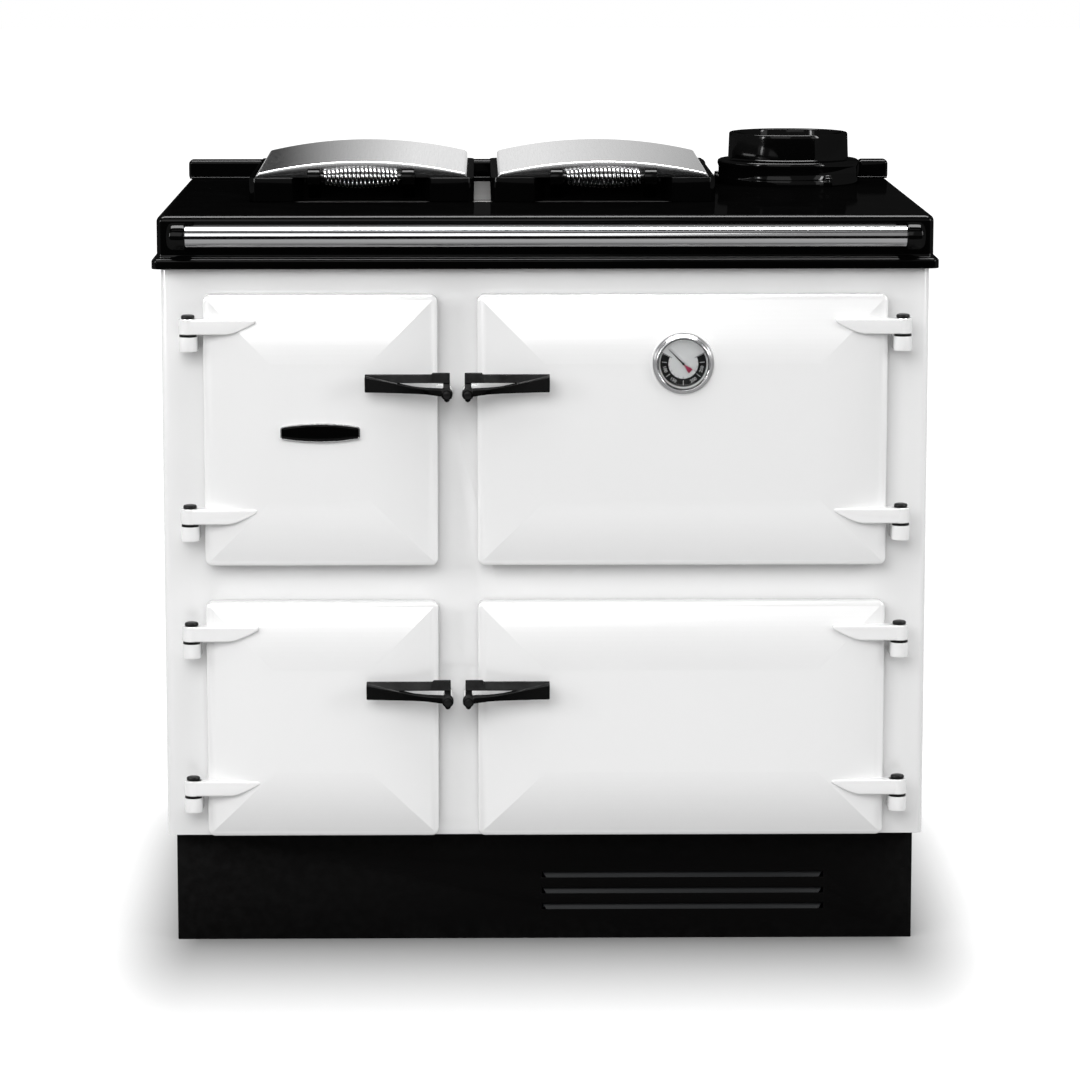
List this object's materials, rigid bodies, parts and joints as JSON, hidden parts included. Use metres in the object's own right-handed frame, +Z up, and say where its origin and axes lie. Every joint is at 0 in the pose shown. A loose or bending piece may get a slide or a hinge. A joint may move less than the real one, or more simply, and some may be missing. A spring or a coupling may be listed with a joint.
{
  "type": "cast iron range cooker",
  "caption": "Cast iron range cooker with hinged bevelled doors, lever latches, domed hob lids with coil handles, a towel rail, a flue outlet and a slotted plinth.",
  "frame": {"origin": "on the floor, under the middle of the whole cooker, counting the towel rail", "axes": "+X to the cooker's right seen from the front, +Y to the back, +Z up"},
  "size_m": [0.988, 0.73, 1.011],
  "materials": {
    "pale_enamel": "gloss vitreous enamel",
    "black_enamel": "gloss vitreous enamel",
    "black_paint": "satin paint",
    "chrome": "polished",
    "bare_steel": "satin",
    "brushed_steel": "brushed",
    "bare_iron": "ground and bare",
    "oven_enamel": "gloss enamel",
    "zinc_sheet": "galvanised",
    "rope": "woven",
    "mineral_wool": "matt",
    "dial_paint": "satin",
    "red_paint": "satin",
    "glass": "clear"
  },
  "bodies": {
    "carcase": {"plinth": "black_paint", "base_plate": "zinc_sheet", "front_plate": "pale_enamel", "side_panel_left": "pale_enamel", "side_panel_right": "pale_enamel", "back_panel": "zinc_sheet", "top_plate": "black_enamel", "rear_upstand": "black_enamel", "hotplate": "bare_iron", "hotplate_seal": "rope", "flue_collar": "black_enamel", "flue_spigot": "black_enamel", "flue_bolts": "chrome", "towel_rail": "chrome", "rail_brackets": "black_enamel", "hinge_lugs": "pale_enamel", "hinge_pins": "black_paint", "hinge_washers": "black_paint", "door_catches": "bare_steel", "lid_hinge_blocks": "black_enamel", "door_seals": "rope", "main_oven": "oven_enamel", "lower_oven": "oven_enamel", "oven_shelves": "bare_steel", "firebox": "bare_iron", "burner": "bare_iron", "insulation_slabs": "mineral_wool"},
    "fire_door": {"fire_door": "pale_enamel", "fire_door_liner": "oven_enamel", "badge_plate": "chrome"},
    "main_oven_door": {"main_oven_door": "pale_enamel", "main_oven_door_liner": "oven_enamel", "thermometer_case": "chrome", "thermometer_dial": "dial_paint", "thermometer_glass": "glass"},
    "burner_door": {"burner_door": "pale_enamel", "burner_door_liner": "oven_enamel"},
    "lower_oven_door": {"lower_oven_door": "pale_enamel", "lower_oven_door_liner": "oven_enamel"},
    "fire_door_latch": {"fire_door_handle": "black_enamel", "fire_door_spindle": "bare_steel"},
    "main_oven_door_latch": {"main_oven_door_handle": "black_enamel", "main_oven_door_spindle": "bare_steel"},
    "burner_door_latch": {"burner_door_handle": "black_enamel", "burner_door_spindle": "bare_steel"},
    "lower_oven_door_latch": {"lower_oven_door_handle": "black_enamel", "lower_oven_door_spindle": "bare_steel"},
    "needle": {"thermometer_needle": "red_paint"},
    "lid_left": {"lid_frame_left": "black_enamel", "lid_dome_left": "brushed_steel", "lid_liner_left": "brushed_steel", "lid_handle_posts_left": "black_enamel", "lid_handle_rod_left": "chrome", "lid_handle_coil_left": "chrome"},
    "lid_right": {"lid_frame_right": "black_enamel", "lid_dome_right": "brushed_steel", "lid_liner_right": "brushed_steel", "lid_handle_posts_right": "black_enamel", "lid_handle_rod_right": "chrome", "lid_handle_coil_right": "chrome"}
  },
  "joints": [
    {"name": "fire_door_hinge", "type": "hinge", "parent": "carcase", "child": "fire_door", "pos_m": [-0.448, -0.314, 0.5], "axis": [0, 0, -1], "range_deg": [0, 120]},
    {"name": "main_oven_door_hinge", "type": "hinge", "parent": "carcase", "child": "main_oven_door", "pos_m": [0.448, -0.314, 0.5], "axis": [0, 0, 1], "range_deg": [0, 120]},
    {"name": "burner_door_hinge", "type": "hinge", "parent": "carcase", "child": "burner_door", "pos_m": [-0.448, -0.314, 0.5], "axis": [0, 0, -1], "range_deg": [0, 120]},
    {"name": "lower_oven_door_hinge", "type": "hinge", "parent": "carcase", "child": "lower_oven_door", "pos_m": [0.448, -0.314, 0.5], "axis": [0, 0, 1], "range_deg": [0, 120]},
    {"name": "fire_door_latch_turn", "type": "hinge", "parent": "fire_door", "child": "fire_door_latch", "pos_m": [-0.124, -0.3, 0.722], "axis": [0, 1, 0], "range_deg": [0, 30]},
    {"name": "main_oven_door_latch_turn", "type": "hinge", "parent": "main_oven_door", "child": "main_oven_door_latch", "pos_m": [-0.098, -0.3, 0.722], "axis": [0, -1, 0], "range_deg": [0, 30]},
    {"name": "burner_door_latch_turn", "type": "hinge", "parent": "burner_door", "child": "burner_door_latch", "pos_m": [-0.124, -0.3, 0.332], "axis": [0, 1, 0], "range_deg": [0, 30]},
    {"name": "lower_oven_door_latch_turn", "type": "hinge", "parent": "lower_oven_door", "child": "lower_oven_door_latch", "pos_m": [-0.098, -0.3, 0.332], "axis": [0, -1, 0], "range_deg": [0, 30]},
    {"name": "lid_left_hinge", "type": "hinge", "parent": "carcase", "child": "lid_left", "pos_m": [-0.236, 0.309, 0.963], "axis": [-1, 0, 0], "range_deg": [0, 90]},
    {"name": "lid_right_hinge", "type": "hinge", "parent": "carcase", "child": "lid_right", "pos_m": [0.078, 0.309, 0.963], "axis": [-1, 0, 0], "range_deg": [0, 90]},
    {"name": "needle_turn", "type": "hinge", "parent": "main_oven_door", "child": "needle", "pos_m": [0.172, -0.32, 0.757], "axis": [0, -1, 0], "range_deg": [0, 250]}
  ]
}
